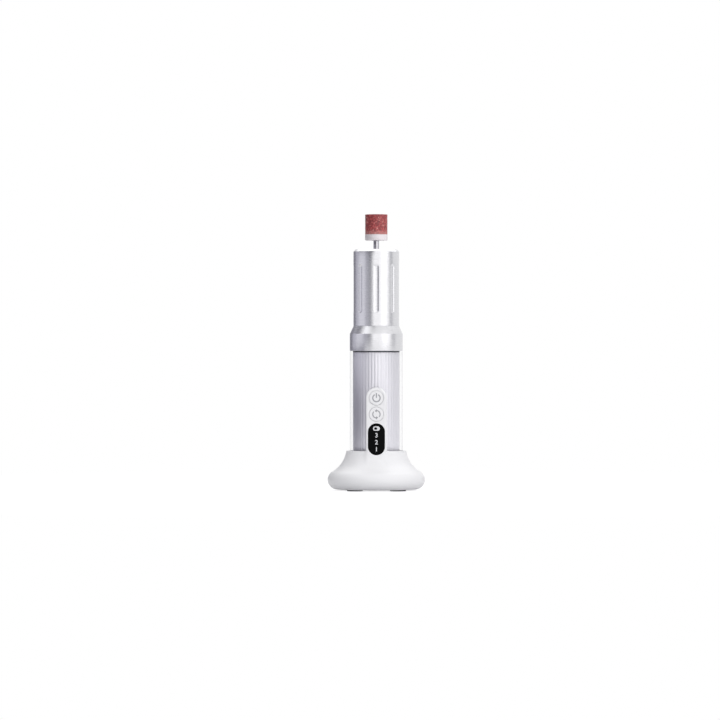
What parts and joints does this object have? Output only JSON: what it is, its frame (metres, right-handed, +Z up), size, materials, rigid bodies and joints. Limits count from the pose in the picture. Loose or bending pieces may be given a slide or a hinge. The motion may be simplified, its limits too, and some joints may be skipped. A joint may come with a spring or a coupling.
{
  "type": "electric nail grinder",
  "caption": "Cordless pet nail grinder standing on its flared foot: sanding drum, silver nose, clear ribbed handle, upright control strip with round keys and a dark window.",
  "frame": {"origin": "on the ground under the pads, in the axis of the tube and of the spindle", "axes": "+Z up along the spindle, towards the sanding drum; -Y towards the front with the control strip; +Y towards the charging inlet"},
  "size_m": [0.055, 0.0549, 0.1558],
  "materials": {
    "white_plastic": "moulded, satin gloss",
    "dark_rubber": "matte",
    "screw_steel": "zinc plated",
    "clear_acrylic": "clear, polished",
    "silver_sleeve": "extruded, satin anodised",
    "silver_head": "turned, pearl satin anodised",
    "gasket_rubber": "matte",
    "black_window": "polished, smoked",
    "display_body": "moulded",
    "board_laminate": "solder masked",
    "switch_black": "moulded",
    "grey_plastic": "moulded, fine texture",
    "cell_wrap": "shrink wrapped",
    "nickel_strip": "rolled",
    "felt": "pressed felt",
    "motor_steel": "zinc plated, drawn",
    "bronze": "sintered",
    "magnet_ferrite": "ground",
    "brush_carbon": "pressed carbon",
    "brass_contact": "stamped",
    "copper": "enamelled wire",
    "spindle_steel": "ground",
    "hub_plastic": "moulded",
    "red_abrasive": "bonded grit",
    "wire_sheath": "insulated wire"
  },
  "bodies": {
    "grinder": {"base_housing": "white_plastic", "base_plate": "white_plastic", "rubber_feet": "dark_rubber", "base_screws": "screw_steel", "clear_tube": "clear_acrylic", "ribbed_sleeve": "silver_sleeve", "sleeve_gasket": "gasket_rubber", "inner_chassis": "grey_plastic", "chassis_screws": "screw_steel", "control_board": "board_laminate", "board_screws": "screw_steel", "display_window": "black_window", "display_module": "display_body", "power_switch": "switch_black", "speed_switch": "switch_black", "battery_cell": "cell_wrap", "battery_tabs": "nickel_strip", "collar_ring": "silver_head", "nose_cap": "silver_head", "dust_seal": "felt", "motor_can": "motor_steel", "motor_end_bell": "switch_black", "motor_bushings": "bronze", "motor_magnets": "magnet_ferrite", "motor_brushes": "brush_carbon", "motor_terminals": "brass_contact", "motor_bracket": "motor_steel", "motor_screws": "screw_steel", "usb_socket": "motor_steel", "charge_board": "board_laminate", "charge_board_screws": "screw_steel", "motor_leads": "wire_sheath", "charge_leads": "wire_sheath"},
    "rotor": {"motor_shaft": "spindle_steel", "rotor_core": "motor_steel", "rotor_windings": "copper", "commutator": "copper", "chuck_body": "spindle_steel", "collet": "spindle_steel", "chuck_nut": "spindle_steel"},
    "bit": {"mandrel": "spindle_steel", "drum_hub": "hub_plastic", "drum_screw": "screw_steel"},
    "band": {"sanding_band": "red_abrasive"},
    "power_key": {"power_button": "white_plastic", "power_plunger": "switch_black"},
    "speed_key": {"speed_button": "white_plastic", "speed_plunger": "switch_black"}
  },
  "joints": [
    {"name": "rotor_spin", "type": "hinge", "parent": "grinder", "child": "rotor", "pos_m": [0, 0, 0.1], "axis": [0, 0, 1], "continuous": true},
    {"name": "bit_pull", "type": "slide", "parent": "rotor", "child": "bit", "axis": [0, 0, 1], "range_m": [0, 0.018]},
    {"name": "band_lift", "type": "slide", "parent": "bit", "child": "band", "axis": [0, 0, 1], "range_m": [0, 0.013]},
    {"name": "power_press", "type": "slide", "parent": "grinder", "child": "power_key", "axis": [0, 1, 0], "range_m": [0, 0.0005], "stiffness_N_per_m": 2000, "springref_m": -0.0002},
    {"name": "speed_press", "type": "slide", "parent": "grinder", "child": "speed_key", "axis": [0, 1, 0], "range_m": [0, 0.0005], "stiffness_N_per_m": 2000, "springref_m": -0.0002}
  ]
}
